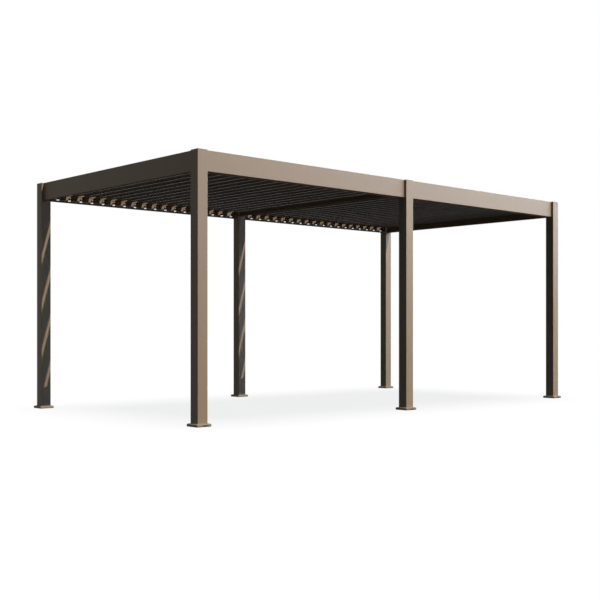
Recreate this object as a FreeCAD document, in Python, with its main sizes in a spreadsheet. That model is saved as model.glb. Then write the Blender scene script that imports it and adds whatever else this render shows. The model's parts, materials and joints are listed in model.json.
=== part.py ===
import FreeCAD, Part
import os
import Sketcher
from FreeCAD import Rotation, Vector

# Louvered pergola, two bays wide. Millimetres, +Z up, +X along the long side,
# origin on the ground at the centre of the footprint.

doc = FreeCAD.newDocument("louvered_pergola")
sheet = doc.addObject("Spreadsheet::Sheet", "Sizes")

sizes = {
    # whole frame, over the outer faces of the posts
    "frame_length": 5700,
    "frame_depth": 3000,
    "frame_height": 2500,
    # square posts and the caps that close them
    "post_size": 110,
    "post_wall": 3,
    "post_corner": 2,
    "cap_thickness": 4,
    "cap_skirt": 25,
    "cap_wall": 3,
    "plug_clearance": 0.3,
    # beams, set back a little from the outer faces of the posts
    "beam_setback": 28,
    "beam_height": 190,
    "middle_beam_height": 150,
    "beam_width": 37,
    "beam_wall": 2.5,
    "beam_corner": 1.5,
    "gutter_width": 60,
    "gutter_lip_height": 20,
    # bars along the long sides that carry the louver pins
    "rail_thickness": 5,
    "rail_height": 56,
    # louvers, drawn closed, with the pin at the middle of the section
    "louver_count": 19,
    "louver_drop": 89,
    "louver_tilt": 28,
    "louver_side_gap": 5.5,
    "louver_post_gap": 5,
    "louver_rail_gap": 17.5,
    "blade_thickness": 28,
    "blade_wing": 3,
    "blade_chamfer": 8,
    "blade_slope": 4,
    "blade_gap": 5.5,
    "rain_lip_overlap": 6,
    "channel_overlap": 2,
    "channel_width": 38,
    "channel_height": 20,
    "channel_edge": 6,
    "channel_foot": 12,
    "pin_radius": 5,
    "pin_clearance": 0.05,
    "pin_end_gap": 0.5,
    # light strips on the lips of the gutters
    "strip_height": 16,
    "strip_depth": 5,
    "strip_rise": 4,
    "strip_left_gap": 40,
    "strip_right_gap": 112,
    # feet
    "foot_plate_size": 150,
    "foot_plate_thickness": 8,
    "anchor_spacing": 129,
    "anchor_hole_radius": 5.5,
    "cover_size": 164,
    "cover_edge_height": 15,
    "cover_height": 38,
    "cover_ledge": 3,
    "cover_rim": 2.5,
    "cover_wall": 2,
    "cover_clearance": 0.3,
    "drain_slot_width": 34,
    "drain_slot_height": 9,
    "drain_slot_offset": 20,
}
for row, (alias, value) in enumerate(sizes.items(), start=1):
    sheet.set(f"A{row}", alias)
    sheet.set(f"B{row}", str(value))
    sheet.setAlias(f"B{row}", alias)
doc.recompute()


def bound(*terms):
    """An expression in which every word that is a size becomes its cell."""
    text = " ".join(str(term) for term in terms)
    words = text.replace("(", " ( ").replace(")", " ) ").split()
    return " ".join(f"Sizes.{word}" if word in sizes else word for word in words)


# Places that several pieces share, as expressions of the sizes
post_x = bound("( frame_length - post_size ) / 2")
post_y = bound("( frame_depth - post_size ) / 2")
bay_span = bound("frame_length / 2 - 1.5 * post_size")  # between the faces of two posts
bay_centre = bound("frame_length / 4 - post_size / 4")
inner_y = bound("frame_depth / 2 - post_size")  # inner faces of the posts
beam_bottom = bound("frame_height - beam_height")
wall_inner_x = bound("frame_length / 2 - beam_setback - beam_width")
wall_inner_y = bound("frame_depth / 2 - beam_setback - beam_width")
lip_inner_y = bound(f"{wall_inner_y} - gutter_width")
bay_clear = f"{wall_inner_x} - Sizes.beam_width / 2"  # from the middle beam to a side beam
pitch = bound(
    f"( {bay_clear} - rain_lip_overlap - channel_overlap - 2 * louver_side_gap ) / louver_count"
)
first_pivot = bound(f"louver_side_gap + channel_overlap + {pitch} / 2")  # from the wall on its left
pivot_z = bound("frame_height - louver_drop")
blade_length = bound(f"2 * ( {wall_inner_y} - rail_thickness - louver_rail_gap )")
blade_length_by_posts = bound(f"2 * ( {inner_y} - louver_post_gap )")
pin_length = bound(f"2 * ( {wall_inner_y} - pin_end_gap )")
cover_slope = bound("cover_height - cover_edge_height")
cap_bottom = bound("frame_height - cap_thickness")

nodes = {}  # label -> object that is written out
post_places = {
    "front_left": (-1, -1),
    "front_middle": (0, -1),
    "front_right": (1, -1),
    "back_left": (-1, 1),
    "back_middle": (0, 1),
    "back_right": (1, 1),
}


def place(thing, x="0", y="0", z="0"):
    """Bind the position of an object to three expressions."""
    for letter, expression in zip("xyz", (x, y, z)):
        thing.setExpression(f"Placement.Base.{letter}", bound(expression))


def bind(thing, **lengths):
    """Bind properties of an object to expressions."""
    for name, expression in lengths.items():
        thing.setExpression(name, bound(expression))


def keep(thing, label):
    thing.Label = label
    nodes[label] = thing


def box(name, width, depth, height, x="0", y="0", z="0"):
    """A block centred on x and y that stands on z."""
    block = doc.addObject("Part::Box", name)
    bind(block, Length=width, Width=depth, Height=height)
    place(block, f"{x} - ( {width} ) / 2", f"{y} - ( {depth} ) / 2", z)
    return block


def cylinder(name, radius, height, x="0", y="0", z="0"):
    rod = doc.addObject("Part::Cylinder", name)
    bind(rod, Radius=radius, Height=height)
    place(rod, x, y, z)
    return rod


def fuse(name, pieces):
    union = doc.addObject("Part::MultiFuse", name)
    union.Shapes = pieces
    return union


def cut(name, base, tool):
    result = doc.addObject("Part::Cut", name)
    result.Base = base
    result.Tool = tool
    return result


def group(label, pieces):
    """Several like pieces that share one file."""
    compound = doc.addObject("Part::Compound", label)
    compound.Links = pieces
    keep(compound, label)


def origin_plane(body, role):
    return next(part for part in body.Origin.OriginFeatures if part.Role == role)


def add_outline(sketch, points):
    """Draw one closed outline through points given as pairs of expressions."""
    doc.recompute()
    first = sketch.GeometryCount
    corners = [Vector(evaluate(x), evaluate(y), 0) for x, y in points]
    for start, end in zip(corners, corners[1:] + corners[:1]):
        sketch.addGeometry(Part.LineSegment(start, end), False)
    for number, (x, y) in enumerate(points):
        line = first + number
        following = first + (number + 1) % len(points)
        sketch.addConstraint(Sketcher.Constraint("Coincident", line, 2, following, 1))
        corner = corners[number]
        for kind, expression, value in (("DistanceX", x, corner.x), ("DistanceY", y, corner.y)):
            index = sketch.addConstraint(Sketcher.Constraint(kind, -1, 1, line, 1, value))
            sketch.setExpression(f"Constraints[{index}]", bound(expression))


def evaluate(expression):
    """The present value of an expression of the sizes."""
    value = sheet.evalExpression(bound(expression))
    return float(getattr(value, "Value", value))


def add_sketch(body, name, plane):
    """An empty sketch on one of the origin planes of a body."""
    sketch = body.newObject("Sketcher::SketchObject", name)
    sketch.AttachmentSupport = [(origin_plane(body, plane), "")]
    sketch.MapMode = "FlatFace"
    return sketch


def add_feature(kind, body, sketch, length, midplane=True):
    """A pad or a pocket of a sketch, which runs to both sides of its plane if midplane is set."""
    feature = body.newObject(f"PartDesign::{kind}", f"{sketch.Name}_{kind.lower()}")
    feature.Profile = sketch
    feature.Midplane = midplane
    bind(feature, Length=length)
    body.Tip = feature
    sketch.Visibility = False
    return feature


def extrusion(label, plane, outlines, length, midplane=True):
    """A body whose section is drawn on one of its origin planes and padded."""
    body = doc.addObject("PartDesign::Body", label)
    sketch = add_sketch(body, f"{label}_section", plane)
    for points in outlines:
        add_outline(sketch, points)
    return body, add_feature("Pad", body, sketch, length, midplane)


def rectangle(left, bottom, right, top):
    return [(left, bottom), (right, bottom), (right, top), (left, top)]


def square(size):
    half = f"( {size} ) / 2"
    return rectangle(f"-1 * {half}", f"-1 * {half}", half, half)


def corners_of(outline):
    """The corners of an outline, as numbers."""
    return [(evaluate(first), evaluate(second)) for first, second in outline]


def round_edges(body, feature, axis, corners, radius):
    """Round those edges of a feature that run along an axis through given corners of its section."""
    doc.recompute()
    first, second = [letter for letter in "xyz" if letter != axis]
    names = []
    for number, edge in enumerate(feature.Shape.Edges, start=1):
        middle = edge.CenterOfMass
        for a, b in corners:
            if abs(getattr(middle, first) - a) < 0.01 and abs(getattr(middle, second) - b) < 0.01:
                names.append(f"Edge{number}")
    rounding = body.newObject("PartDesign::Fillet", f"{body.Name}_corners")
    rounding.Base = (feature, names)
    bind(rounding, Radius=radius)
    body.Tip = rounding


def make_posts():
    """Square hollow posts with slightly rounded corners."""
    for place_name, (side_x, side_y) in post_places.items():
        label = f"post_{place_name}"
        sections = [square("post_size"), square("post_size - 2 * post_wall")]
        height = f"{cap_bottom} - foot_plate_thickness"
        body, pad = extrusion(label, "XY_Plane", sections, height, midplane=False)
        round_edges(body, pad, "z", corners_of(sections[0]), "post_corner")
        place(body, f"{side_x} * {post_x}", f"{side_y} * {post_y}", "foot_plate_thickness")
        keep(body, label)


def make_caps():
    """Flat lids on the posts, each with a square skirt inside the tube."""
    caps = []
    for place_name, (side_x, side_y) in post_places.items():
        x, y = f"{side_x} * {post_x}", f"{side_y} * {post_y}"
        bore = "post_size - 2 * post_wall"
        skirt_width = f"{bore} - 2 * plug_clearance"
        hollow_width = f"{skirt_width} - 2 * cap_wall"
        skirt_bottom = f"{cap_bottom} - cap_skirt"
        lid = box(f"cap_lid_{place_name}", "post_size", "post_size", "cap_thickness", x, y, cap_bottom)
        skirt = box(f"cap_skirt_{place_name}", skirt_width, skirt_width, "cap_skirt", x, y, skirt_bottom)
        hollow = box(f"cap_hollow_{place_name}", hollow_width, hollow_width, "cap_skirt", x, y, skirt_bottom)
        ring = cut(f"cap_ring_{place_name}", skirt, hollow)
        caps.append(fuse(f"cap_{place_name}", [lid, ring]))
    group("post_caps", caps)


def make_long_beams():
    """Front and back beams: a hollow box outside and a gutter inside it, closed at its ends."""
    outer = "frame_depth / 2 - beam_setback"
    floor_top = f"{beam_bottom} + beam_wall"
    lip_top = f"{beam_bottom} + gutter_lip_height"
    for side_name, side in (("front", -1), ("back", 1)):
        profile = [
            (outer, beam_bottom),
            (outer, "frame_height"),
            (wall_inner_y, "frame_height"),
            (wall_inner_y, lip_top),
            (lip_inner_y, lip_top),
            (lip_inner_y, beam_bottom),
        ]
        chamber = rectangle(
            f"{wall_inner_y} + beam_wall",
            floor_top,
            f"{outer} - beam_wall",
            "frame_height - beam_wall",
        )
        channel = rectangle(f"{lip_inner_y} + beam_wall", floor_top, wall_inner_y, lip_top)
        mirrored = [[(f"{side} * ( {y} )", z) for y, z in points] for points in (profile, chamber, channel)]
        for bay_name, bay in (("left", -1), ("right", 1)):
            label = f"{side_name}_beam_{bay_name}"
            body, _ = extrusion(label, "YZ_Plane", mirrored[:2], bay_span)
            sketch = add_sketch(body, f"{label}_channel", "YZ_Plane")
            add_outline(sketch, mirrored[2])
            pocket = add_feature("Pocket", body, sketch, f"{bay_span} - 2 * beam_wall")
            corners = corners_of(mirrored[0])
            round_edges(body, pocket, "x", corners[:3] + corners[-1:], "beam_corner")
            place(body, f"{bay} * ( {bay_centre} )")
            keep(body, label)


def make_cross_beams():
    """Hollow beams from front to back at both ends and a lower one between the middle posts."""
    centre = f"{wall_inner_x} + beam_width / 2"
    for label, side, height in (
        ("left_beam", -1, "beam_height"),
        ("middle_beam", 0, "middle_beam_height"),
        ("right_beam", 1, "beam_height"),
    ):
        bottom = f"frame_height - {height}"
        outline = rectangle("-1 * beam_width / 2", bottom, "beam_width / 2", "frame_height")
        chamber = rectangle(
            "-1 * beam_width / 2 + beam_wall",
            f"{bottom} + beam_wall",
            "beam_width / 2 - beam_wall",
            "frame_height - beam_wall",
        )
        body, pad = extrusion(label, "XZ_Plane", [outline, chamber], f"2 * ( {inner_y} )")
        round_edges(body, pad, "y", corners_of(outline), "beam_corner")
        place(body, f"{side} * ( {centre} )")
        keep(body, label)


def louver_x(bay, number):
    """Where the pin of one louver is along X: both bays count from their left wall."""
    wall = f"-1 * ( {wall_inner_x} )" if bay == "left" else "beam_width / 2"
    return f"{wall} + {first_pivot} + {number} * {pitch}"


def make_rails():
    """Flat bars on the inner walls of the long beams, with a hole for each pin."""
    count = int(sheet.louver_count)
    for side_name, side in (("front", -1), ("back", 1)):
        rails = []
        for bay in ("left", "right"):
            name = f"louver_rail_{side_name}_{bay}"
            sign = -1 if bay == "left" else 1
            bar = box(
                f"{name}_bar",
                bay_span,
                "rail_thickness",
                "rail_height",
                f"{sign} * ( {bay_centre} )",
                f"{side} * ( {wall_inner_y} - rail_thickness / 2 )",
                f"{pivot_z} - rail_height / 2",
            )
            holes = []
            for number in range(count):
                hole_name = f"{name}_hole_{number + 1:02d}"
                hole = cylinder(hole_name, "pin_radius + pin_clearance", "2 * rail_thickness")
                hole.Placement.Rotation = Rotation(Vector(1, 0, 0), -90)
                start = f"{side} * ( {wall_inner_y} - rail_thickness / 2 ) - rail_thickness"
                place(hole, louver_x(bay, number), start, pivot_z)
                holes.append(hole)
            rails.append(cut(name, bar, fuse(f"{name}_holes", holes)))
        group(f"louver_rails_{side_name}", rails)


def blade_section():
    """Closed louver: a flat box with a rain channel on its left and a rain lip on its right."""
    top = "blade_thickness / 2"
    bottom = f"-1 * {top}"
    channel_tip = f"-1 * ( {pitch} / 2 + channel_overlap )"
    channel_floor = f"{bottom} + blade_wing"
    channel_top = f"{bottom} + channel_height"
    left = f"{channel_tip} + channel_width"
    right = f"{pitch} / 2 - channel_overlap - blade_gap"
    lip_tip = f"{pitch} / 2 + rain_lip_overlap"
    lip_bottom = f"{top} - blade_wing"
    return [
        (channel_tip, bottom),
        (f"{right} - blade_chamfer", bottom),
        (right, f"{bottom} + blade_chamfer"),
        (right, lip_bottom),
        (lip_tip, lip_bottom),
        (lip_tip, top),
        (f"{left} + blade_slope", top),
        (left, channel_floor),
        (f"{channel_tip} + channel_foot", channel_floor),
        (f"{channel_tip} + channel_edge", channel_top),
        (channel_tip, channel_top),
    ]


def make_louvers():
    """Each louver turns about its own pins; at rest it stands open, right edge up."""
    count = int(sheet.louver_count)
    for bay in ("left", "right"):
        for number in range(count):
            label = f"louver_{bay}_{number + 1:02d}"
            length = blade_length_by_posts if number in (0, count - 1) else blade_length
            body, _ = extrusion(label, "XZ_Plane", [blade_section()], length)
            circle = add_sketch(body, f"{label}_pins", "XZ_Plane")
            circle.addGeometry(Part.Circle(Vector(0, 0, 0), Vector(0, 0, 1), sheet.pin_radius), False)
            circle.addConstraint(Sketcher.Constraint("Coincident", 0, 3, -1, 1))
            radius = circle.addConstraint(Sketcher.Constraint("Radius", 0, sheet.pin_radius))
            circle.setExpression(f"Constraints[{radius}]", bound("pin_radius"))
            add_feature("Pad", body, circle, pin_length)
            body.Placement.Rotation = Rotation(Vector(0, -1, 0), sheet.louver_tilt)
            body.setExpression("Placement.Rotation.Angle", bound("louver_tilt"))
            place(body, louver_x(bay, number), "0", pivot_z)
            keep(body, label)


def make_light_strips():
    """Slim diffuser bars on the lips of the gutters, with a longer gap at the right of each bay."""
    for side_name, side in (("front", -1), ("back", 1)):
        strips = []
        for bay_name, bay in (("left", -1), ("right", 1)):
            strips.append(
                box(
                    f"light_strip_{side_name}_{bay_name}",
                    f"{bay_span} - strip_left_gap - strip_right_gap",
                    "strip_depth",
                    "strip_height",
                    f"{bay} * ( {bay_centre} ) + ( strip_left_gap - strip_right_gap ) / 2",
                    f"{side} * ( {lip_inner_y} - strip_depth / 2 )",
                    f"{beam_bottom} + strip_rise",
                )
            )
        group(f"light_strips_{side_name}", strips)


def make_foot_plates():
    """Plates under the posts with an anchor hole near each corner."""
    plates = []
    for place_name, (side_x, side_y) in post_places.items():
        x, y = f"{side_x} * {post_x}", f"{side_y} * {post_y}"
        width, thickness = "foot_plate_size", "foot_plate_thickness"
        plate = box(f"foot_slab_{place_name}", width, width, thickness, x, y)
        holes = []
        for number, (hole_x, hole_y) in enumerate(((-1, -1), (1, -1), (1, 1), (-1, 1)), start=1):
            holes.append(
                cylinder(
                    f"anchor_hole_{place_name}_{number}",
                    "anchor_hole_radius",
                    thickness,
                    f"{x} + {hole_x} * anchor_spacing / 2",
                    f"{y} + {hole_y} * anchor_spacing / 2",
                )
            )
        plates.append(cut(f"foot_plate_{place_name}", plate, fuse(f"anchor_holes_{place_name}", holes)))
    group("foot_plates", plates)


def frustum(name, low_size, high_size, height, x, y, z):
    """A square block that narrows upwards."""
    wedge = doc.addObject("Part::Wedge", name)
    low, high = f"( {low_size} ) / 2", f"( {high_size} ) / 2"
    bind(wedge, Xmin=f"-1 * {low}", Zmin=f"-1 * {low}", Xmax=low, Zmax=low)
    bind(wedge, X2min=f"-1 * {high}", Z2min=f"-1 * {high}", X2max=high, Z2max=high)
    bind(wedge, Ymin="0", Ymax=height)
    wedge.Placement.Rotation = Rotation(Vector(1, 0, 0), 90)
    place(wedge, x, y, z)
    return wedge


def make_foot_covers():
    """Hollow skirts round the post feet, sloping in to the post, with a slot for the rain water."""
    covers = []
    for place_name, (side_x, side_y) in post_places.items():
        x, y = f"{side_x} * {post_x}", f"{side_y} * {post_y}"
        opening = "post_size + 2 * cover_clearance"
        top = f"{opening} + 2 * cover_rim"
        shoulder = "cover_size - 2 * cover_ledge"
        edge = box(f"cover_edge_{place_name}", "cover_size", "cover_size", "cover_edge_height", x, y)
        slope = frustum(f"cover_slope_{place_name}", shoulder, top, cover_slope, x, y, "cover_edge_height")
        cavity = box(
            f"cover_cavity_{place_name}",
            "cover_size - 2 * cover_wall",
            "cover_size - 2 * cover_wall",
            "cover_edge_height - cover_wall",
            x,
            y,
        )
        throat = frustum(
            f"cover_throat_{place_name}",
            f"{shoulder} - 2 * cover_wall",
            opening,
            cover_slope,
            x,
            y,
            "cover_edge_height - cover_wall",
        )
        bore = box(f"cover_bore_{place_name}", opening, opening, "cover_height", x, y)
        slot = box(
            f"drain_slot_{place_name}",
            "drain_slot_width",
            "2 * cover_wall",
            "drain_slot_height",
            f"{x} + drain_slot_offset",
            f"{y} + {side_y} * ( cover_size - cover_wall ) / 2",
            "0",
        )
        outside = fuse(f"cover_outside_{place_name}", [edge, slope])
        inside = fuse(f"cover_inside_{place_name}", [cavity, throat, bore, slot])
        covers.append(cut(f"foot_cover_{place_name}", outside, inside))
    group("foot_covers", covers)


make_posts()
make_caps()
make_long_beams()
make_cross_beams()
make_rails()
make_louvers()
make_light_strips()
make_foot_plates()
make_foot_covers()
doc.recompute()

for thing in doc.Objects:
    if "Invalid" in thing.State or "Error" in thing.State:
        raise RuntimeError(f"{thing.Label} failed: {thing.State}")
for label, thing in nodes.items():
    if thing.Shape.isNull() or not thing.Shape.isValid():
        raise RuntimeError(f"{label} has no valid shape")

os.makedirs("parts", exist_ok=True)
for label, thing in nodes.items():
    thing.Shape.exportStep(f"parts/{label}.step")
    print(label, len(thing.Shape.Solids), "solids", round(thing.Shape.Volume / 1e6, 3), "litres")
print(len(nodes), "nodes")
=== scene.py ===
import json
import math

import bmesh
import bpy
import numpy as np
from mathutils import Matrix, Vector


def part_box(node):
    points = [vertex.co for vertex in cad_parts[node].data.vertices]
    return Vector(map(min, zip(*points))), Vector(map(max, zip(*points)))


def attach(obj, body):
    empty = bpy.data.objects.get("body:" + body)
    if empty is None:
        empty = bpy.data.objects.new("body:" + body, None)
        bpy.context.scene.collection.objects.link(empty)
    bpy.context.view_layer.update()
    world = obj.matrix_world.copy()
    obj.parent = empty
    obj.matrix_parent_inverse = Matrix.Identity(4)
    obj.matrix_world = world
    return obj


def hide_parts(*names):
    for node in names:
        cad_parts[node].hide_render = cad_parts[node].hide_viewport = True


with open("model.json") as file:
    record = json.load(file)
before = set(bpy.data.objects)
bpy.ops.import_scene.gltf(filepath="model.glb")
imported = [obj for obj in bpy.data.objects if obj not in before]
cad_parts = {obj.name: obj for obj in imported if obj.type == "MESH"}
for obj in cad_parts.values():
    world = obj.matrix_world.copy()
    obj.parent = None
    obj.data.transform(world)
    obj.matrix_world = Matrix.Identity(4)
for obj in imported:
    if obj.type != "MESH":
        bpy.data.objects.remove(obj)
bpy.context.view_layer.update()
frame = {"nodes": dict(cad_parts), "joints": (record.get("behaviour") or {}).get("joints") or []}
scene = bpy.context.scene
nodes = frame["nodes"]
print("frame loaded,", len(nodes), "nodes")

# Places that several pieces share, read from the frame
lowPost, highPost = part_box("post_front_left")
postSize = highPost.x - lowPost.x
postRow = -(lowPost.y + highPost.y) / 2  # distance of a row of posts from the middle
postColumns = [sum(corner.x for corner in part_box(f"post_front_{side}")) / 2
               for side in ("left", "middle", "right")]
postCentres = [(column, row) for column in postColumns for row in (-postRow, postRow)]
bays = [(left + postSize / 2, right - postSize / 2) for left, right in zip(postColumns, postColumns[1:])]
lowRail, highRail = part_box("louver_rails_front")
railThickness = highRail.y - lowRail.y
railFace = -highRail.y  # distance of a rail's inner face from the middle
louverNodes = sorted(name for name in nodes if name.startswith("louver_") and name[-2:].isdigit())
perBay = len(louverNodes) // len(bays)
pivots = {joint["child"]: joint["pos_m"] for joint in frame["joints"]}


# Geometry: a shape is its points, its quads and its end polygons

def unit(vectors):
    return vectors / np.linalg.norm(vectors, axis=-1, keepdims=True)


def gridFaces(rows, columns):
    # quads between neighbouring rows and columns; the last column joins the first
    row = np.arange(rows - 1)[:, None]
    column = np.arange(columns)[None, :]
    after = (column + 1) % columns
    near, far = row * columns, (row + 1) * columns
    return np.stack([near + column, near + after, far + after, far + column], axis=-1).reshape(-1, 4)


def roundedOutline(corners, radii, steps=4):
    # each corner becomes an arc that touches both edges at radius / tan(half the corner's angle);
    # a point of the arc is the centre plus sine weighted sums of the two touching radii
    corners = np.asarray(corners, float)
    radii = np.broadcast_to(np.asarray(radii, float), len(corners))[:, None]
    back = unit(np.roll(corners, 1, axis=0) - corners)
    ahead = unit(np.roll(corners, -1, axis=0) - corners)
    half = np.arccos(np.clip((back * ahead).sum(1), -1, 1))[:, None] / 2
    centre = corners + unit(back + ahead) * radii / np.sin(half)
    first = corners + back * radii / np.tan(half) - centre
    last = corners + ahead * radii / np.tan(half) - centre
    turn = np.pi - 2 * half
    share = np.linspace(0, 1, steps)[None, :]
    before, beyond = np.sin((1 - share) * turn) / np.sin(turn), np.sin(share * turn) / np.sin(turn)
    points = centre[:, None] + before[..., None] * first[:, None] + beyond[..., None] * last[:, None]
    return points.reshape(-1, 2)


def sweep(outline, stations, insets):
    # the outline stands in the x-z plane and is repeated along y; at each station it is moved
    # inwards along its corner normals by that station's inset
    edge = unit(np.roll(outline, -1, axis=0) - outline)
    mean = unit(edge + np.roll(edge, 1, axis=0))
    outward = np.stack([mean[:, 1], -mean[:, 0]], axis=1)
    rings = outline[None] - np.asarray(insets, float)[:, None, None] * outward[None]
    along = np.broadcast_to(np.asarray(stations, float)[:, None], rings.shape[:2])
    points = np.stack([rings[..., 0], along, rings[..., 1]], axis=-1).reshape(-1, 3)
    count = len(outline)
    ends = [list(range(count)), list(range(len(points) - count, len(points)))]
    return points, gridFaces(len(stations), count), ends


def lathe(profile, centre, axis, segments=24, hexRows=()):
    # profile rows are a radius and a height, turned about the axis; in a hexagonal row the radius
    # is divided by the cosine of the angle to the middle of the nearest flat
    profile = np.asarray(profile, float)
    axis = unit(np.asarray(axis, float))
    side = unit(np.cross(axis, (0.3, 0.5, 0.8)))  # the circle starts in any direction off the axis
    other = np.cross(axis, side)
    angle = np.arange(segments) * 2 * np.pi / segments
    flat = np.cos((angle + np.pi / 6) % (np.pi / 3) - np.pi / 6)
    radius = np.repeat(profile[:, :1], segments, axis=1)
    for row in hexRows:
        radius[row] = radius[row] / flat
    circle = np.cos(angle)[:, None] * side + np.sin(angle)[:, None] * other
    points = np.asarray(centre, float) + profile[:, 1, None, None] * axis + radius[..., None] * circle[None]
    return points.reshape(-1, 3), gridFaces(len(profile), segments), []


def turnedRows(radius, height, chamfer, bore=0.0):
    # lathe rows of a disc, or of a ring where it has a bore, chamfered round its outer end
    inwards, down = chamfer
    rows = [(bore, 0), (radius, 0), (radius, height - down), (radius - inwards, height), (bore, height)]
    return rows + [(bore, 0)] if bore else rows


def copiesAt(shape, places):
    # the same shape moved to every place, as one set of points and faces
    points, faces, _ = shape
    places = np.asarray(places, float)
    moved = (points[None] + places[:, None]).reshape(-1, 3)
    shift = len(points) * np.arange(len(places))[:, None, None]
    return moved, (faces[None] + shift).reshape(-1, 4), []


def squareLoft(levels, arcSteps, marks=()):
    # every level is a half width, a corner radius and a height: four quarter arcs joined by
    # straight sides; marks are extra columns on the side that faces -y, at these x offsets
    quarter = np.linspace(0, np.pi / 2, arcSteps)
    start = np.repeat(np.arange(4) * np.pi / 2, arcSteps)
    angle = start + np.tile(quarter, 4)
    signX = np.repeat([1, -1, -1, 1], arcSteps)
    signY = np.repeat([1, 1, -1, -1], arcSteps)
    front = 3 * arcSteps  # the column where the side that faces -y starts
    rings = []
    for halfWidth, radius, height in levels:
        x = signX * (halfWidth - radius) + radius * np.cos(angle)
        y = signY * (halfWidth - radius) + radius * np.sin(angle)
        x = np.insert(x, front, sorted(marks))
        y = np.insert(y, front, [-halfWidth] * len(marks))
        rings.append(np.stack([x, y, np.full_like(x, height)], axis=1))
    points = np.stack(rings)
    columns = points.shape[1]
    return points.reshape(-1, 3), gridFaces(len(levels), columns), [list(range(columns))]


weldDistance = 1e-6


def addPiece(name, shapes, body, materials, parts=None, weld=True, smoothAngle=32, local=None):
    # the shapes become one mesh; parts gives the number of each shape's material, 0 without it
    mesh = bpy.data.meshes.new(name)
    points, faces, slots = [], [], []
    offset = 0
    for number, (shapePoints, quads, ends) in enumerate(shapes):
        added = (quads + offset).tolist() + [[corner + offset for corner in end] for end in ends]
        faces += added
        slots += [parts[number] if parts else 0] * len(added)
        points.append(shapePoints)
        offset += len(shapePoints)
    mesh.from_pydata(np.concatenate(points), [], faces)
    mesh.polygons.foreach_set("material_index", slots)
    for material in materials:
        mesh.materials.append(material)
    if local is not None:
        attribute = mesh.attributes.new("local", "FLOAT_VECTOR", "POINT")
        attribute.data.foreach_set("vector", local.astype(np.float32).ravel())
    build = bmesh.new()
    build.from_mesh(mesh)
    if weld:
        bmesh.ops.remove_doubles(build, verts=build.verts, dist=weldDistance)
    bmesh.ops.recalc_face_normals(build, faces=build.faces)
    build.to_mesh(mesh)
    build.free()
    mesh.shade_smooth()
    mesh.set_sharp_from_angle(angle=math.radians(smoothAngle))
    piece = bpy.data.objects.new(name, mesh)
    scene.collection.objects.link(piece)
    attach(piece, body)
    return piece


screw = {
    "sink": 0.0002,           # how far a head starts under its seat
    # shares of the head's radius and height, from the seat over the low dome into the socket
    "rows": [(1.0, 0.0), (1.0, 0.3), (0.86, 0.78), (0.62, 1.0), (0.42, 1.0), (0.42, 0.4), (0.0, 0.34)],
    "socketRows": (4, 5),     # the hexagonal ones
    "segments": 18,
}


def screwHead(radius, height, centre, axis):
    profile = np.array(screw["rows"]) * [radius, height]
    profile[0, 1] = -screw["sink"]
    return lathe(profile, centre, axis, screw["segments"], screw["socketRows"])


# Shader building

def addNode(tree, kind, inputs=None, **settings):
    # an input is linked where a socket is given, and set where it is a value
    node = tree.nodes.new(kind)
    for key, value in settings.items():
        setattr(node, key, value)
    for key, value in (inputs or {}).items():
        if isinstance(value, bpy.types.NodeSocket):
            tree.links.new(value, node.inputs[key])
        else:
            node.inputs[key].default_value = value
    return node


def newGroup(name, inputs, outputs):
    group = bpy.data.node_groups.new(name, "ShaderNodeTree")
    for label, kind, value in inputs:
        socket = group.interface.new_socket(label, in_out="INPUT", socket_type="NodeSocket" + kind)
        if value is not None:
            socket.default_value = value
    for label, kind in outputs:
        group.interface.new_socket(label, in_out="OUTPUT", socket_type="NodeSocket" + kind)
    return group, group.nodes.new("NodeGroupInput"), group.nodes.new("NodeGroupOutput")


def useGroup(tree, group, inputs):
    return addNode(tree, "ShaderNodeGroup", inputs, node_tree=group).outputs


def compute(tree, operation, a, b=0.0, clamp=False):
    return addNode(tree, "ShaderNodeMath", {0: a, 1: b}, operation=operation, use_clamp=clamp).outputs[0]


def weighted(tree, first, firstShare, second, secondShare):
    # first times its share plus second times its share
    return compute(tree, "ADD", compute(tree, "MULTIPLY", first, firstShare),
                   compute(tree, "MULTIPLY", second, secondShare))


def ramp(tree, value, low, high, toLow=0.0, toHigh=1.0):
    node = addNode(tree, "ShaderNodeMapRange", {"Value": value, "From Min": low, "From Max": high,
                                                "To Min": toLow, "To Max": toHigh})
    return node.outputs["Result"]


def noise(tree, vector, scale, detail=3.0, rough=0.55):
    node = addNode(tree, "ShaderNodeTexNoise", {"Vector": vector, "Scale": scale, "Detail": detail,
                                                "Roughness": rough})
    return node.outputs["Fac"]


def stretched(tree, vector, scale):
    return addNode(tree, "ShaderNodeMapping", {"Vector": vector, "Scale": scale}).outputs["Vector"]


def mixColor(tree, amount, first, second):
    # sockets 6 and 7 of the node are its two colours, output 2 the mixed one
    return addNode(tree, "ShaderNodeMix", {0: amount, 6: first, 7: second}, data_type="RGBA").outputs[2]


# Effects that several materials share: noise values are a scale, a detail and a roughness

grainLook = {
    "scale": 900.0,           # of the fine orange peel
    "wideScale": 0.16,        # of the waviness under it, as a share of that
    "detail": 2.0,
    "shares": (0.6, 0.4),     # of the fine and the wide in the height
    "fleck": (0.38, 0.62),    # values of the fine noise where a fleck begins and is full
}


def makeCoatGrain():
    # powder coat: a fine orange peel over a wider, lower waviness
    tree, given, out = newGroup("coatGrain", [("Vector", "Vector", None),
                                              ("Grain", "Float", grainLook["scale"])],
                                [("Height", "Float"), ("Fleck", "Float")])
    place, scale = given.outputs["Vector"], given.outputs["Grain"]
    fineShare, wideShare = grainLook["shares"]
    fine = noise(tree, place, scale, grainLook["detail"])
    wide = noise(tree, place, compute(tree, "MULTIPLY", scale, grainLook["wideScale"]), grainLook["detail"])
    tree.links.new(weighted(tree, fine, fineShare, wide, wideShare), out.inputs["Height"])
    tree.links.new(ramp(tree, fine, *grainLook["fleck"]), out.inputs["Fleck"])
    return tree


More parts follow.
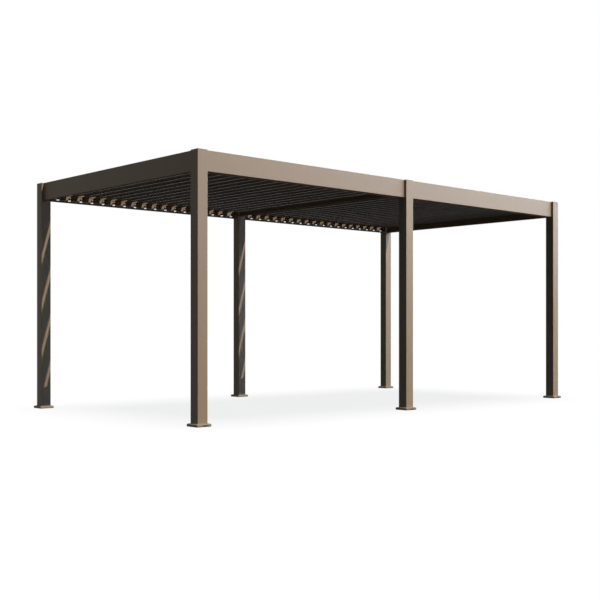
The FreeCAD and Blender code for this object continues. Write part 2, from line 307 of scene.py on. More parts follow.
driftLook = {
    "slow": (1.7, 3.0),
    "runStretch": (46, 46, 1.3),   # fine across and long down
    "runs": (1.0, 4.0, 0.6),
}


def makeToneDrift():
    # slow changes of tone over a face, and faint runs that rain leaves down it; each noise less its
    # middle value is scaled by its amount, and twice their sum is added to 1
    tree, given, out = newGroup("toneDrift", [("Vector", "Vector", None), ("Amount", "Float", 0.05),
                                              ("Runs", "Float", 0.04)], [("Light", "Float")])
    slow = noise(tree, given.outputs["Vector"], *driftLook["slow"])
    runs = noise(tree, stretched(tree, given.outputs["Vector"], driftLook["runStretch"]), *driftLook["runs"])
    both = weighted(tree, compute(tree, "SUBTRACT", slow, 0.5), given.outputs["Amount"],
                    compute(tree, "SUBTRACT", runs, 0.5), given.outputs["Runs"])
    brightness = compute(tree, "ADD", compute(tree, "MULTIPLY", both, 2.0), 1.0)
    tree.links.new(brightness, out.inputs["Light"])
    return tree


dustLook = {
    "patches": (9.0, 5.0, 0.65),
    "patchRange": (0.35, 0.75),
    "specks": (160.0, 3.0, 0.7),
    "speckRange": (0.45, 0.7),
    "shares": (0.7, 0.3),          # of the patches and the specks
    "facingUp": (0.55, 0.95),      # the normal's z where dust begins to lie and lies in full
    "splashHeight": 0.34,          # metres over the ground
    "facingDown": (-0.5, -0.95),   # the normal's z where a face begins to count as an underside
}


def makeSettledDust():
    # dust lies on what faces up and, as splash, on the lowest part of what stands on the ground
    tree, given, out = newGroup("settledDust", [("Vector", "Vector", None), ("Top", "Float", 0.35),
                                                ("Splash", "Float", 0.3)],
                                [("Mask", "Float"), ("Under", "Float")])
    place = given.outputs["Vector"]
    normal = addNode(tree, "ShaderNodeNewGeometry").outputs["Normal"]
    facing = addNode(tree, "ShaderNodeSeparateXYZ", {0: normal}).outputs[2]
    height = addNode(tree, "ShaderNodeSeparateXYZ", {0: place}).outputs[2]
    patches = ramp(tree, noise(tree, place, *dustLook["patches"]), *dustLook["patchRange"])
    specks = ramp(tree, noise(tree, place, *dustLook["specks"]), *dustLook["speckRange"])
    patchShare, speckShare = dustLook["shares"]
    spread = weighted(tree, patches, patchShare, specks, speckShare)
    where = weighted(tree, ramp(tree, facing, *dustLook["facingUp"]), given.outputs["Top"],
                     ramp(tree, height, dustLook["splashHeight"], 0.0), given.outputs["Splash"])
    tree.links.new(compute(tree, "MULTIPLY", where, spread, clamp=True), out.inputs["Mask"])
    tree.links.new(ramp(tree, facing, *dustLook["facingDown"]), out.inputs["Under"])
    return tree


dieNoise = (1.0, 3.0, 0.7)


def makeDieLines():
    # fine lines that the die leaves along an extrusion: noise stretched along its length
    tree, given, out = newGroup("dieLines", [("Vector", "Vector", None), ("Along", "Vector", (1, 1, 1))],
                                [("Height", "Float")])
    scaled = addNode(tree, "ShaderNodeVectorMath", {0: given.outputs["Vector"], 1: given.outputs["Along"]},
                     operation="MULTIPLY")
    tree.links.new(noise(tree, scaled.outputs[0], *dieNoise), out.inputs["Height"])
    return tree


rubAndHighlightLook = {
    "samples": 4,
    "edge": (0.995, 0.86),         # agreement of the two normals where the lighter edge, partly rub and partly painted highlight, begins and is full
    "breaks": (55.0, 4.0, 0.65),
    "breakRange": (0.42, 0.68),
}


def makeEdgeRubAndHighlight():
    # lighter outer edges, partly rubbing and partly a painted highlight: where the rounded normal leaves the
    # true one, broken by noise
    tree, given, out = newGroup("edgeRub", [("Vector", "Vector", None), ("Width", "Float", 0.0015)],
                                [("Mask", "Float")])
    normal = addNode(tree, "ShaderNodeNewGeometry").outputs["Normal"]
    rounded = addNode(tree, "ShaderNodeBevel", {"Radius": given.outputs["Width"]}, samples=rubAndHighlightLook["samples"])
    agreement = addNode(tree, "ShaderNodeVectorMath", {0: rounded.outputs[0], 1: normal},
                        operation="DOT_PRODUCT").outputs["Value"]
    edge = ramp(tree, agreement, *rubAndHighlightLook["edge"])
    broken = ramp(tree, noise(tree, given.outputs["Vector"], *rubAndHighlightLook["breaks"]), *rubAndHighlightLook["breakRange"])
    tree.links.new(compute(tree, "MULTIPLY", edge, broken, clamp=True), out.inputs["Mask"])
    return tree


coatGrain = makeCoatGrain()
toneDrift = makeToneDrift()
settledDust = makeSettledDust()
dieLines = makeDieLines()
edgeRub = makeEdgeRubAndHighlight()


# Materials: a bump is a strength and a distance in metres

midRange = (0.3, 0.7)  # where most values of a noise lie


def newMaterial(name):
    material = bpy.data.materials.new(name)
    material.use_nodes = True
    tree = material.node_tree
    place = addNode(tree, "ShaderNodeTexCoord").outputs["Object"]
    return material, tree, place


def setSurface(tree, color, roughness, height=None, bump=None, fixed=None):
    # fixed holds the numbers that are the same all over, set on the shader's own sockets
    shader = tree.nodes["Principled BSDF"]
    tree.links.new(color, shader.inputs["Base Color"])
    tree.links.new(roughness, shader.inputs["Roughness"])
    if bump:
        strength, distance = bump
        node = addNode(tree, "ShaderNodeBump", {"Height": height, "Strength": strength, "Distance": distance})
        tree.links.new(node.outputs[0], shader.inputs["Normal"])
    for key, value in (fixed or {}).items():
        shader.inputs[key].default_value = value


paint = {
    "color": (0.240, 0.157, 0.088, 1),
    # the louvers' colour is darker than the frame's, a painted shade that darkens the shaded underside of the
    # roof and the light bounced between blades
    "louver": (0.135, 0.100, 0.068, 1),
    # the covers' colour is lighter than the frame's, a painted sheen in place of the sheen lamp, which
    # doesn't light them
    "cover": (0.285, 0.200, 0.125, 1),
    "dust": (0.36, 0.31, 0.25, 1),
    # the lighter brown of outer edges, partly rubbed coat and partly a painted highlight
    "bare": (0.38, 0.30, 0.22, 1),
    "fleck": (0.55, 0.47, 0.39, 1),
    "fleckAmount": 0.05,
    "drift": 0.05,
    "rub": 0.35,
    "rubWidth": 0.0016,
    "roughness": (0.45, 0.56),
    "dustRoughness": 0.35,    # added under dust
    "underside": 0.50,        # added where a face looks down
    "shine": 0.12,
    "louverShine": 0.07,
    "grainHeight": 0.75,
    "lineHeight": 0.25,
    "bump": (0.22, 0.0006),
}


def coatedMetal(name, along, splash, color=paint["color"], dust=0.35, runs=0.04, shine=paint["shine"],
                attribute=None):
    # powder coated aluminium; along scales the die lines, small on the axis that they run along
    material, tree, place = newMaterial(name)
    lineSource = place
    if attribute:
        lineSource = addNode(tree, "ShaderNodeAttribute", attribute_name=attribute).outputs["Vector"]
    grain = useGroup(tree, coatGrain, {"Vector": place, "Grain": grainLook["scale"]})
    tone = useGroup(tree, toneDrift, {"Vector": place, "Amount": paint["drift"], "Runs": runs})
    settled = useGroup(tree, settledDust, {"Vector": place, "Top": dust, "Splash": splash})
    lines = useGroup(tree, dieLines, {"Vector": lineSource, "Along": along})
    rubbedAndHighlit = useGroup(tree, edgeRub, {"Vector": place, "Width": paint["rubWidth"]})
    lit = addNode(tree, "ShaderNodeVectorMath", {0: color[:3], "Scale": tone["Light"]},
                  operation="SCALE").outputs[0]
    fleckMask = compute(tree, "MULTIPLY", grain["Fleck"], paint["fleckAmount"])
    # outer edges go towards a lighter brown, partly rubbing and partly a painted highlight
    rubAndHighlightMask = compute(tree, "MULTIPLY", rubbedAndHighlit["Mask"], paint["rub"])
    flecked = mixColor(tree, fleckMask, lit, paint["fleck"])
    wornAndHighlit = mixColor(tree, rubAndHighlightMask, flecked, paint["bare"])
    dusty = mixColor(tree, settled["Mask"], wornAndHighlit, paint["dust"])
    rough = compute(tree, "ADD", ramp(tree, grain["Height"], *midRange, *paint["roughness"]),
                    compute(tree, "MULTIPLY", settled["Mask"], paint["dustRoughness"]))
    rough = compute(tree, "ADD", rough, compute(tree, "MULTIPLY", settled["Under"], paint["underside"]))
    height = weighted(tree, grain["Height"], paint["grainHeight"], lines["Height"], paint["lineHeight"])
    setSurface(tree, dusty, rough, height, paint["bump"], {"Specular IOR Level": shine})
    return material


plastic = {
    "dark": (0.022, 0.021, 0.020, 1),
    "capRoughness": (0.49, 0.63),
    "darkRoughness": (0.42, 0.56),
    "grain": 1400.0,
    "fleckAmount": 0.12,
    "fleckGain": 1.5,         # a fleck's colour is the ground's times the gain, plus the lift
    "fleckLift": 0.01,
    "dust": 0.3,
    "splash": 0.3,
    "bump": (0.25, 0.0004),
    "shine": 0.3,
}


def mouldedPlastic(name, color, roughness):
    material, tree, place = newMaterial(name)
    pattern = useGroup(tree, coatGrain, {"Vector": place, "Grain": plastic["grain"]})
    settled = useGroup(tree, settledDust, {"Vector": place, "Top": plastic["dust"],
                                           "Splash": plastic["splash"]})
    fleck = [min(1.0, part * plastic["fleckGain"] + plastic["fleckLift"]) for part in color[:3]] + [1]
    fleckMask = compute(tree, "MULTIPLY", pattern["Fleck"], plastic["fleckAmount"])
    flecked = mixColor(tree, fleckMask, color, fleck)
    setSurface(tree, mixColor(tree, settled["Mask"], flecked, paint["dust"]),
               ramp(tree, pattern["Height"], *midRange, *roughness), pattern["Height"], plastic["bump"],
               {"Specular IOR Level": plastic["shine"]})
    return material


lens = {
    "colors": ((0.72, 0.74, 0.76, 1), (0.84, 0.84, 0.81, 1)),  # between and over the lamps
    "lampPitch": 0.0166,
    "spotAmount": 0.10,
    "clouds": (30.0, 3.0),
    "cloudColor": (0.66, 0.67, 0.66, 1),
    "cloudRange": (0.3, 0.8),
    "cloudAmount": 0.08,
    "roughness": (0.44, 0.54),
    "ribs": (3, 400, 400),    # scale of the lines that the die leaves along the lens
    "bump": (0.15, 0.0003),
    "shine": 0.12,
}


def milkyLens(name):
    # milky diffuser with soft spots over its lamps, a sine wave along the strip, and faint clouds
    material, tree, place = newMaterial(name)
    along = addNode(tree, "ShaderNodeSeparateXYZ", {0: place}).outputs[0]
    wave = compute(tree, "SINE", compute(tree, "MULTIPLY", along, 2 * math.pi / lens["lampPitch"]))
    spots = compute(tree, "MULTIPLY", ramp(tree, wave, -1.0, 1.0), lens["spotAmount"])
    clouds = noise(tree, place, *lens["clouds"])
    cloudMask = ramp(tree, clouds, *lens["cloudRange"], 0.0, lens["cloudAmount"])
    color = mixColor(tree, cloudMask, mixColor(tree, spots, *lens["colors"]), lens["cloudColor"])
    ribs = noise(tree, stretched(tree, place, lens["ribs"]), 1.0)
    setSurface(tree, color, ramp(tree, clouds, *midRange, *lens["roughness"]), ribs, lens["bump"],
               {"Specular IOR Level": lens["shine"]})
    return material


rubber = {
    "colors": ((0.034, 0.032, 0.030, 1), (0.052, 0.050, 0.047, 1)),
    "stretch": (40, 4, 40),
    "roughness": (0.24, 0.34),
}


def softSeal(name):
    # smooth dark sealing strip, slightly cloudy along its length
    material, tree, place = newMaterial(name)
    clouds = noise(tree, stretched(tree, place, rubber["stretch"]), 1.0)
    setSurface(tree, mixColor(tree, clouds, *rubber["colors"]),
               ramp(tree, clouds, *midRange, *rubber["roughness"]))
    return material


zinc = {
    # near black, a painted shade seen through the covers' drain slots
    "colors": ((0.030, 0.031, 0.033, 1), (0.060, 0.061, 0.064, 1)),
    "cellScale": 110.0,
    "fine": (700.0, 3.0),
    "mixRange": (0.2, 0.8),
    "roughness": (0.50, 0.68),
    "bump": (0.12, 0.0003),
    "metallic": 0.10,
    "shine": 0.05,
}


def zincSteel(name):
    # zinc painted near black, a painted shade that keeps the drain slots in front of the plates dark: a
    # spangle of cells of slightly different grey and roughness
    material, tree, place = newMaterial(name)
    cells = addNode(tree, "ShaderNodeTexVoronoi", {"Vector": place, "Scale": zinc["cellScale"]})
    grey = addNode(tree, "ShaderNodeSeparateColor", {0: cells.outputs["Color"]}).outputs[0]
    fine = noise(tree, place, *zinc["fine"])
    mixed = weighted(tree, grey, 0.5, fine, 0.5)
    setSurface(tree, mixColor(tree, grey, *zinc["colors"]),
               ramp(tree, mixed, *zinc["mixRange"], *zinc["roughness"]), fine, zinc["bump"],
               {"Metallic": zinc["metallic"], "Specular IOR Level": zinc["shine"]})
    return material


steel = {
    "colors": ((0.50, 0.49, 0.47, 1), (0.62, 0.61, 0.59, 1)),
    "stretch": (500, 2600, 500),
    "detail": 2.0,
    "roughness": (0.26, 0.38),
    "bump": (0.1, 0.0002),
}


def turnedSteel(name):
    # stainless fasteners and pins with faint turning marks
    material, tree, place = newMaterial(name)
    marks = noise(tree, stretched(tree, place, steel["stretch"]), 1.0, steel["detail"])
    setSurface(tree, mixColor(tree, marks, *steel["colors"]),
               ramp(tree, marks, *midRange, *steel["roughness"]), marks, steel["bump"], {"Metallic": 1.0})
    return material


postCoat = coatedMetal("postCoat", (900, 900, 3), splash=0.18)
longBeamCoat = coatedMetal("longBeamCoat", (3, 900, 900), splash=0)
crossBeamCoat = coatedMetal("crossBeamCoat", (900, 3, 900), splash=0)
# the louvers take the darker colour, a painted shade for the underside of the roof
louverCoat = coatedMetal("louverCoat", (1100, 3, 1100), splash=0, color=paint["louver"], dust=0.3,
                         shine=paint["louverShine"], attribute="local")
# the covers are lighter, with more dust and splash than elsewhere: partly dust and partly a painted sheen in
# place of the sheen lamp
coverCoat = coatedMetal("coverCoat", (300, 300, 300), splash=0.5, color=paint["cover"], dust=0.45, runs=0.02)
capPlastic = mouldedPlastic("capPlastic", paint["color"], plastic["capRoughness"])
darkPlastic = mouldedPlastic("darkPlastic", plastic["dark"], plastic["darkRoughness"])
lensPlastic = milkyLens("lensPlastic")
sealRubber = softSeal("sealRubber")
plateZinc = zincSteel("plateZinc")
pinSteel = turnedSteel("pinSteel")
print("materials made")


def dressFrame():
    # the pieces of the frame whose solids stay get their finish
    finishes = {"left_beam": crossBeamCoat, "middle_beam": crossBeamCoat, "right_beam": crossBeamCoat,
                "foot_plates": plateZinc}
    for row in ("front", "back"):
        finishes.update({f"post_{row}_{side}": postCoat for side in ("left", "middle", "right")})
        finishes.update({f"{row}_beam_{bay}": longBeamCoat for bay in ("left", "right")})
        finishes[f"louver_rails_{row}"] = longBeamCoat
    for name, material in finishes.items():
        nodes[name].data.materials.clear()
        nodes[name].data.materials.append(material)
    print("frame dressed")


dressFrame()


# Louvers: an extruded blade with a soft seal, and a plastic plate and a steel pin at each end

blade = {
    "pitch": abs(pivots["louver_left_02"][0] - pivots["louver_left_01"][0]),
    "tilt": math.radians(-28),
    "railGap": 0.0175,
    "postGap": 0.005,
    "thickness": 0.028,
    "wing": 0.003,
    "chamfer": 0.008,
    "slope": 0.004,
    "gap": 0.0055,
    "lipOverlap": 0.006,
    "channelOverlap": 0.002,
    "channelWidth": 0.038,
    "channelHeight": 0.020,
    "channelEdge": 0.006,
    "channelFoot": 0.012,
    "edge": 0.0004,
    # radii of the outline's corners, from the channel's lower corner round to its tip
    "radii": (0.0030, 0.0030, 0.0035, 0.0012, 0.0012, 0.0012, 0.0030, 0.0012, 0.0014, 0.0014, 0.0014),
}
channelTip = -(blade["pitch"] / 2 + blade["channelOverlap"])
channelTop = blade["channelHeight"] - blade["thickness"] / 2

seal = {
    "width": 0.0056,
    "height": 0.0014,         # over the channel's tip
    "inset": 0.0002,
    "sink": 0.0008,
    "endGap": 0.001,
    "radii": (0.0003, 0.0003, 0.0007, 0.0007),
}

bladeEnd = {
    "thickness": 0.0026,
    "seam": 0.0001,           # between the blade and its end
    "bossRadius": 0.0110,
    "bossHeight": 0.0022,
    "bossChamfer": (0.0007, 0.00066),
    "bossSink": 0.0002,
    "pinRadius": 0.005,
    "pinChamfer": (0.0008, 0.0008),
    "pinGap": 0.0005,         # from the end of a pin to the wall behind the rail
    "screws": (-0.024, 0.046),
    "screwRadius": 0.0036,
    "screwHeight": 0.0012,
    "screwDepth": 0.0009,
}


def bladeOutline():
    # a flat box with a rain channel on its left and a rain lip on its right, as it is when closed
    top, wing = blade["thickness"] / 2, blade["wing"]
    left = channelTip + blade["channelWidth"]
    right = blade["pitch"] / 2 - blade["channelOverlap"] - blade["gap"]
    lipTip = blade["pitch"] / 2 + blade["lipOverlap"]
    corners = [
        (channelTip, -top), (right - blade["chamfer"], -top), (right, -top + blade["chamfer"]),
        (right, top - wing), (lipTip, top - wing), (lipTip, top), (left + blade["slope"], top),
        (left, -top + wing), (channelTip + blade["channelFoot"], -top + wing),
        (channelTip + blade["channelEdge"], channelTop), (channelTip, channelTop),
    ]
    return roundedOutline(corners, blade["radii"], steps=5)


def sealOutline():
    # a low box that sits over the channel's tip
    left, right = channelTip + seal["inset"], channelTip + seal["width"]
    bottom, top = channelTop - seal["sink"], channelTop + seal["height"]
    return roundedOutline([(left, bottom), (right, bottom), (right, top), (left, top)], seal["radii"])


def turnedTo(points, pivot):
    # rotation about the y axis through the pivot: x cos + z sin, and z cos - x sin
    cosine, sine = math.cos(blade["tilt"]), math.sin(blade["tilt"])
    x, y, z = points.T
    return np.stack([x * cosine + z * sine + pivot[0], y, z * cosine - x * sine + pivot[2]], axis=1)


def turnedShape(shape, pivot):
    points, faces, ends = shape
    return turnedTo(points, pivot), faces, ends


def endShapes(outline, pivot, inner, outer, side):
    # the plastic plate with its boss, and the pin with the plate's screws, at one end of a louver
    edge, axis = blade["edge"], (0, side, 0)
    stations = side * np.array([inner + bladeEnd["seam"], inner + edge, outer - edge, outer])
    plate = turnedShape(sweep(outline, stations, [edge, 0, 0, edge]), pivot)
    boss = lathe(turnedRows(bladeEnd["bossRadius"], bladeEnd["bossHeight"], bladeEnd["bossChamfer"]),
                 (pivot[0], side * (outer - bladeEnd["bossSink"]), pivot[2]), axis)
    pinLength = railFace + railThickness - bladeEnd["pinGap"] - outer
    pin = lathe(turnedRows(bladeEnd["pinRadius"], pinLength, bladeEnd["pinChamfer"]),
                (pivot[0], side * outer, pivot[2]), axis)
    seats = [(offset, side * (outer - bladeEnd["screwDepth"]), 0.0) for offset in bladeEnd["screws"]]
    screws = [screwHead(bladeEnd["screwRadius"], bladeEnd["screwHeight"], seat, axis)
              for seat in turnedTo(np.array(seats), pivot)]
    return [plate, boss], [pin] + screws


def makeLouvers():
    outline, sealShape = bladeOutline(), sealOutline()
    edge = blade["edge"]
    besidePosts = {f"louver_{bay}_{number:02d}" for bay in ("left", "right") for number in (1, perBay)}
    for name in louverNodes:
        pivot = pivots[name]
        label = name.replace("louver_", "")
        outer = railFace - blade["railGap"]
        if name in besidePosts:
            outer = postRow - postSize / 2 - blade["postGap"]
        inner = outer - bladeEnd["thickness"]
        body = sweep(outline, [-inner, -inner + edge, inner - edge, inner], [edge, 0, 0, edge])
        piece = addPiece(f"blade_{label}", [turnedShape(body, pivot)], name, [louverCoat],
                         weld=False, smoothAngle=24, local=body[0])
        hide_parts(name)
        sealEnd = inner - seal["endGap"]
        strip = turnedShape(sweep(sealShape, [-sealEnd, sealEnd], [0, 0]), pivot)
        addPiece(f"bladeSeal_{label}", [strip], name, [sealRubber], weld=False)
        plasticShapes, steelShapes = [], []
        for side in (-1, 1):
            plasticEnd, steelEnd = endShapes(outline, pivot, inner, outer, side)
            plasticShapes += plasticEnd
            steelShapes += steelEnd
        addPiece(f"bladeEnds_{label}", plasticShapes + steelShapes, name,
                 [darkPlastic, pinSteel], parts=[0] * len(plasticShapes) + [1] * len(steelShapes))
    print("louvers made,", len(louverNodes), "blades")


makeLouvers()


# Rails: a plastic bush round every pin, and screws between them

rail = {
    "bore": 0.00505,
    "bushRadius": 0.0095,
    "bushHeight": 0.0022,
    "bushChamfer": (0.0006, 0.00066),
    "screwRadius": 0.0052,
    "screwHeight": 0.003,
    "screwDrop": 0.0135,
    "screwEvery": 3,          # louvers
}


def makeRailFittings():
    rows = turnedRows(rail["bushRadius"], rail["bushHeight"], rail["bushChamfer"], rail["bore"])
    every = rail["screwEvery"]
    for sideName, side in (("front", -1), ("back", 1)):
        face, axis = side * railFace, (0, -side, 0)
        centres = np.array([(pivots[name][0], face, pivots[name][2]) for name in louverNodes])
        bush = lathe(rows, (0, 0, 0), axis)
        addPiece(f"railBushes_{sideName}", [copiesAt(bush, centres)], "frame", [darkPlastic])
        between = [(first + second) / 2 for row in (centres[:perBay], centres[perBay:])
                   for first, second in zip(row[1:-1:every], row[2::every])]
        head = screwHead(rail["screwRadius"], rail["screwHeight"], (0, 0, 0), axis)
        addPiece(f"railScrews_{sideName}", [copiesAt(head, np.array(between) - [0, 0, rail["screwDrop"]])],
                 "frame", [pinSteel])
    print("rail fittings made")


makeRailFittings()


# Light strips: a shallow painted channel with a domed milky lens, on the lips of the gutters

lightStrip = {
    "leftGap": 0.040,         # from the posts' faces
    "rightGap": 0.112,
    "wall": 0.0010,
    "channelDepth": 0.0040,
    "channelCorner": 0.0003,
    "channelInset": 0.0005,   # from the ends of the strip
    "lensDepth": 0.0050,
    "lensEdge": 0.0032,
    "lensSeam": 0.0001,
    "lensBack": 0.0002,       # from the lens to the channel's back
    "lensInset": 0.001,
    "lensPoints": 15,
    "endLength": 0.004,
    "endDepth": 0.0046,
    "endCorner": 0.0006,
    "endEdge": 0.0004,
}


def channelOutline(halfTall):
    # a flat U that is open to the middle of the bay
    wall, deep = lightStrip["wall"], lightStrip["channelDepth"]
    corners = [(0, -halfTall), (deep, -halfTall), (deep, -halfTall + wall), (wall, -halfTall + wall),
               (wall, halfTall - wall), (deep, halfTall - wall), (deep, halfTall), (0, halfTall)]
    return roundedOutline(corners, lightStrip["channelCorner"], steps=3)


def lensOutline(halfTall):
    # the face is a parabola from lip to lip, and the back is flat
    back = lightStrip["wall"] + lightStrip["lensBack"]
    seat = halfTall - lightStrip["wall"] - lightStrip["lensSeam"]
    across = np.linspace(-seat, seat, lightStrip["lensPoints"])
    dome = lightStrip["lensDepth"] - lightStrip["lensEdge"]
    rise = lightStrip["lensEdge"] + dome * (1 - (across / seat) ** 2)
    return np.concatenate([np.stack([rise, across], axis=1), [(back, seat), (back, -seat)]])


def endOutline(halfTall):
    deep = lightStrip["endDepth"]
    corners = [(0, -halfTall), (deep, -halfTall), (deep, halfTall), (0, halfTall)]
    return roundedOutline(corners, lightStrip["endCorner"], steps=3)


def onLip(shape, lipFace, side, middle):
    # the sweep's x becomes the depth from the lip towards the middle, and its y the way along x
    points, faces, ends = shape
    depth, along, up = points.T
    return np.stack([along, lipFace - side * depth, up + middle], axis=1), faces, ends


def makeLightStrips():
    edge = lightStrip["endEdge"]
    for sideName, side in (("front", -1), ("back", 1)):
        low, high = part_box(f"light_strips_{sideName}")
        lipFace = low.y if side < 0 else high.y
        middle = (high.z + low.z) / 2
        halfTall = (high.z - low.z) / 2
        channelShape, lensShape, endShape = (outline(halfTall) for outline in
                                             (channelOutline, lensOutline, endOutline))
        channels, lenses, caps = [], [], []
        for bayStart, bayEnd in bays:
            start, finish = bayStart + lightStrip["leftGap"], bayEnd - lightStrip["rightGap"]
            for outline, store, inset in ((channelShape, channels, lightStrip["channelInset"]),
                                          (lensShape, lenses, lightStrip["lensInset"])):
                straight = sweep(outline, [start + inset, finish - inset], [0, 0])
                store.append(onLip(straight, lipFace, side, middle))
            for first in (start, finish - lightStrip["endLength"]):
                last = first + lightStrip["endLength"]
                block = sweep(endShape, [first, first + edge, last - edge, last], [edge, 0, 0, edge])
                caps.append(onLip(block, lipFace, side, middle))
        addPiece(f"lightChannel_{sideName}", channels, "frame", [longBeamCoat])
        lensPiece = addPiece(f"lightLens_{sideName}", lenses, "frame", [lensPlastic])
        addPiece(f"lightEnds_{sideName}", caps, "frame", [darkPlastic])
        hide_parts(f"light_strips_{sideName}")
    print("light strips made")


makeLightStrips()


# Post caps: a thin lid with a rounded rim round a shallow sunk field

cap = {
    "thickness": 0.004,
    "corner": 0.0022,
    "arcSteps": 5,
    "lift": 0.0002,           # of the lid's underside over the post
    # the shadow gap under the lid: how far it stands in, its corner radius, and its height
    "seam": [(0.004, 0.0010, 0.0), (0.0009, 0.0014, 0.0), (0.0009, 0.0014, 0.0004)],
    "sideStart": 0.0010,      # over the lid's lowest height
    # the rounded edge: how far it stands in, and how far it lies under the top
    "edge": [(0.0, 0.0012), (0.0004, 0.0004), (0.0012, 0.0)],
    "rim": 0.007,
    "sink": 0.0008,
    "middle": (0.002, 0.001),
}


def makeCaps():
    half, corner = postSize / 2, cap["corner"]
    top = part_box("post_caps")[1].z
    bottom = top - cap["thickness"]
    field = top - cap["sink"]
    levels = [(half - inset, radius, bottom + cap["lift"] + height) for inset, radius, height in cap["seam"]]
    levels += [(half, corner, bottom + cap["sideStart"])]
    levels += [(half - inset, corner, top - drop) for inset, drop in cap["edge"]]
    levels += [(half - cap["rim"], corner, top), (half - cap["rim"] - cap["sink"], corner, field),
               (*cap["middle"], field), (0.0, 0.0, field)]
    points, faces, ends = squareLoft(levels, cap["arcSteps"])
    shapes = [(points + [*centre, 0], faces, ends) for centre in postCentres]
    piece = addPiece("postCaps", shapes, "frame", [capPlastic], smoothAngle=40)
    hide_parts("post_caps")
    print("post caps made")


makeCaps()


# Foot covers: a low skirt with a full round edge and a slightly sloping top, with a drain slot

cover = {
    "half": 0.082,
    "height": 0.0302,
    "corner": 0.007,
    "arcSteps": 6,
    "clearance": 0.0003,
    "wall": 0.002,
    # the skirt's edge: how far it stands in from the half width, and at which height
    "edge": [(0.0035, 0.0), (0.0014, 0.0034), (0.0, 0.0105), (0.0, 0.0150), (0.0007, 0.0192),
             (0.0024, 0.0225), (0.0052, 0.0248), (0.0088, 0.0262), (0.0125, 0.0269)],
    # the collar round the post: how far it stands off, its corner radius, and its drop under the top
    "collar": [(0.0041, 0.0040, 0.0020), (0.0028, 0.0030, 0.0008), (0.0017, 0.0026, 0.0),
               (0.0003, 0.0022, 0.0), (0.0, 0.0022, 0.0010)],
    "slotCentre": 0.008,
    "slotWidth": 0.054,
    "slotHeight": 0.0150,
    "slotDepth": 0.05,        # share of the half width, from the front, in which the slot is cut
}


def makeFootCovers():
    half, top = cover["half"], cover["height"]
    postHalf = postSize / 2 + cover["clearance"]
    levels = [(half - inset, cover["corner"], height) for inset, height in cover["edge"]]
    levels += [(postHalf + away, radius, top - drop) for away, radius, drop in cover["collar"]]
    left = cover["slotCentre"] - cover["slotWidth"] / 2
    right = cover["slotCentre"] + cover["slotWidth"] / 2
    points, faces, _ = squareLoft(levels, cover["arcSteps"], marks=(left, right))
    x, y, z = points[faces].mean(axis=1).T
    inSlot = (x > left) & (x < right) & (y < -half * (1 - cover["slotDepth"])) & (z < cover["slotHeight"])
    faces = faces[~inSlot]
    shapes = []
    for column, row in postCentres:
        if row < 0:
            shapes.append((points + [column, row, 0], faces, []))
        else:  # the back row is mirrored, so that its slots look to the back
            shapes.append((points * [1, -1, 1] + [column, row, 0], faces[:, ::-1], []))
    piece = addPiece("footCovers", shapes, "frame", [coverCoat], smoothAngle=50)
    solid = piece.modifiers.new("wall", "SOLIDIFY")
    solid.thickness = cover["wall"]
    solid.offset = -1
    solid.use_even_offset = True
    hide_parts("foot_covers")
    print("foot covers made")


makeFootCovers()


# Camera, lights and floor

photo = {
    "size": 600,              # pixels of the photograph
    "focal": 1004.24,         # focal length in those pixels
    "centreColumn": 304.3,
    "horizonRow": 328.8,
    "place": (-8.225, -8.768, 0.882),
    "turn": -42.54,
    "sensor": 36,             # width in millimetres, which sets the lens with the focal length
    "reach": 200,             # metres that the camera sees
}


def makeCamera():
    data = bpy.data.cameras.new("camera")
    data.sensor_width = photo["sensor"]
    data.lens = photo["focal"] / photo["size"] * photo["sensor"]
    data.shift_x = (photo["size"] / 2 - photo["centreColumn"]) / photo["size"]
    data.shift_y = (photo["horizonRow"] - photo["size"] / 2) / photo["size"]
    data.clip_end = photo["reach"]
    camera = bpy.data.objects.new("camera", data)
    camera.location = photo["place"]
    camera.rotation_euler = (math.radians(90), 0, math.radians(photo["turn"]))
    scene.collection.objects.link(camera)
    scene.camera = camera


light = {
    "keyPlace": (2, -9, 8),
    "keyTravel": (-0.2225, 1.0, -0.80),
    "keyStrength": 3.5,
    "keyAngle": 0.4,
    "fill": (0.090, 0.145, 0.210, 1),
    "sheenPlace": (14.3, -6.8, 9.7),
    "sheenAim": (0, 0, 1.6),
    "sheenSize": (30.0, 14.0),
    "sheenPower": 27000.0,
    "sheenColor": (0.79, 0.885, 1.0),
    "floorPlace": (0, 0, 9),
    "floorStrength": math.pi,         # a floor then looks as it is written
    "floorAngle": 36,
}

ground = {
    "reach": 60,
    "drop": 0.0005,           # under the feet
    "shade": 0.170,           # share of its look that its shading has
    "color": (1.0, 0.95, 0.89, 1),        # warm, against the blue of the fill
    "bounce": (0.035, 0.035, 0.035, 1),   # what it throws back at the object
    "white": (1, 1, 1, 1),
}


def seenStraight(tree):
    # 1 for what the camera, glossy surfaces and glass see, 0 for light on the object
    path = addNode(tree, "ShaderNodeLightPath").outputs
    mirrored = compute(tree, "MAXIMUM", path["Is Glossy Ray"], path["Is Transmission Ray"])
    return compute(tree, "MAXIMUM", path["Is Camera Ray"], mirrored)


def mixShader(tree, amount, first, second):
    return addNode(tree, "ShaderNodeMixShader", {0: amount, 1: first, 2: second}).outputs[0]


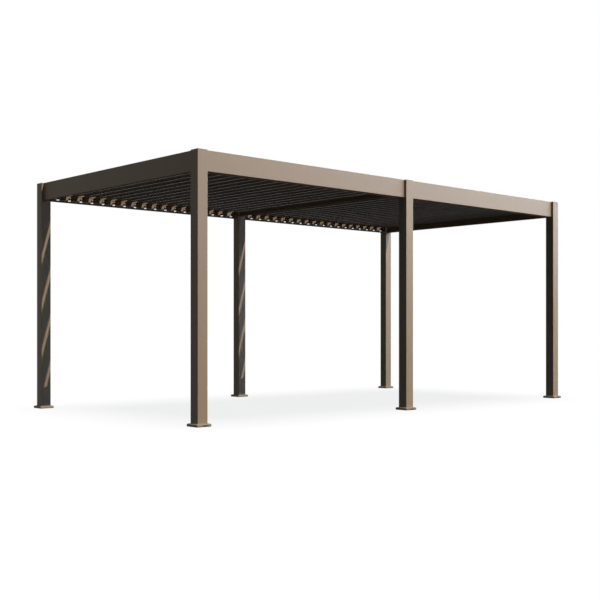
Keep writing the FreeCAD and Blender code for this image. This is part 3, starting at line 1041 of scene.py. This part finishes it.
def makeFloor():
    reach = ground["reach"]
    mesh = bpy.data.meshes.new("floor")
    mesh.from_pydata([(-reach, -reach, 0), (reach, -reach, 0), (reach, reach, 0), (-reach, reach, 0)], [],
                     [(0, 1, 2, 3)])
    floor = bpy.data.objects.new("floor", mesh)
    floor.location.z = -ground["drop"]
    scene.collection.objects.link(floor)
    material = bpy.data.materials.new("floorWhite")
    material.use_nodes = True
    tree = material.node_tree
    tree.nodes.clear()
    white = addNode(tree, "ShaderNodeEmission", {"Color": ground["white"]}).outputs[0]
    shaded = addNode(tree, "ShaderNodeBsdfDiffuse", {"Color": ground["color"]}).outputs[0]
    bounced = addNode(tree, "ShaderNodeBsdfDiffuse", {"Color": ground["bounce"]}).outputs[0]
    shown = mixShader(tree, ground["shade"], white, shaded)
    upper = mixShader(tree, seenStraight(tree), bounced, shown)
    below = addNode(tree, "ShaderNodeNewGeometry").outputs["Backfacing"]
    clear = addNode(tree, "ShaderNodeBsdfTransparent").outputs[0]
    out = addNode(tree, "ShaderNodeOutputMaterial")
    tree.links.new(mixShader(tree, below, upper, clear), out.inputs["Surface"])
    mesh.materials.append(material)
    return floor


def makeWorld():
    world = bpy.data.worlds.new("studio")
    scene.world = world
    world.use_nodes = True
    tree = world.node_tree
    tree.nodes.clear()
    fill = addNode(tree, "ShaderNodeBackground", {"Color": light["fill"]}).outputs[0]
    white = addNode(tree, "ShaderNodeBackground", {"Color": ground["white"]}).outputs[0]
    out = addNode(tree, "ShaderNodeOutputWorld")
    tree.links.new(mixShader(tree, seenStraight(tree), fill, white), out.inputs["Surface"])


def addLamp(name, kind, place, travel, energy, **settings):
    data = bpy.data.lights.new(name, kind)
    data.energy = energy
    for key, value in settings.items():
        setattr(data, key, value)
    lamp = bpy.data.objects.new(name, data)
    lamp.location = place
    lamp.rotation_mode = "QUATERNION"
    lamp.rotation_quaternion = Vector(travel).to_track_quat("-Z", "Y")
    scene.collection.objects.link(lamp)
    return lamp


def lightOnly(lamp, name, things):
    receivers = bpy.data.collections.new(name)
    for thing in things:
        receivers.objects.link(thing)
    lamp.light_linking.receiver_collection = receivers


def makeLights(floor):
    # the key lights the object alone, the sheen its posts and front beams, and the lamp overhead the floor
    key = addLamp("keyLight", "SUN", light["keyPlace"], light["keyTravel"], light["keyStrength"],
                  angle=math.radians(light["keyAngle"]))
    travel = Vector(light["sheenAim"]) - Vector(light["sheenPlace"])
    width, height = light["sheenSize"]
    sheen = addLamp("sheenLight", "AREA", light["sheenPlace"], travel, light["sheenPower"],
                    shape="RECTANGLE", size=width, size_y=height, color=light["sheenColor"])
    sheen.visible_diffuse = False
    above = addLamp("floorLight", "SUN", light["floorPlace"], (0, 0, -1), light["floorStrength"],
                    angle=math.radians(light["floorAngle"]))
    pieces = [thing for thing in scene.objects if thing.type == "MESH" and thing is not floor]
    fronts = [nodes[name] for name in nodes if name.startswith(("post_front", "post_back", "front_beam"))]
    lightOnly(key, "objectOnly", pieces)
    lightOnly(sheen, "frontOnly", fronts)
    lightOnly(above, "floorOnly", [floor])


makeCamera()
makeWorld()
makeLights(makeFloor())
scene.view_settings.view_transform = "Standard"
print("camera and lights made")

bpy.context.view_layer.update()
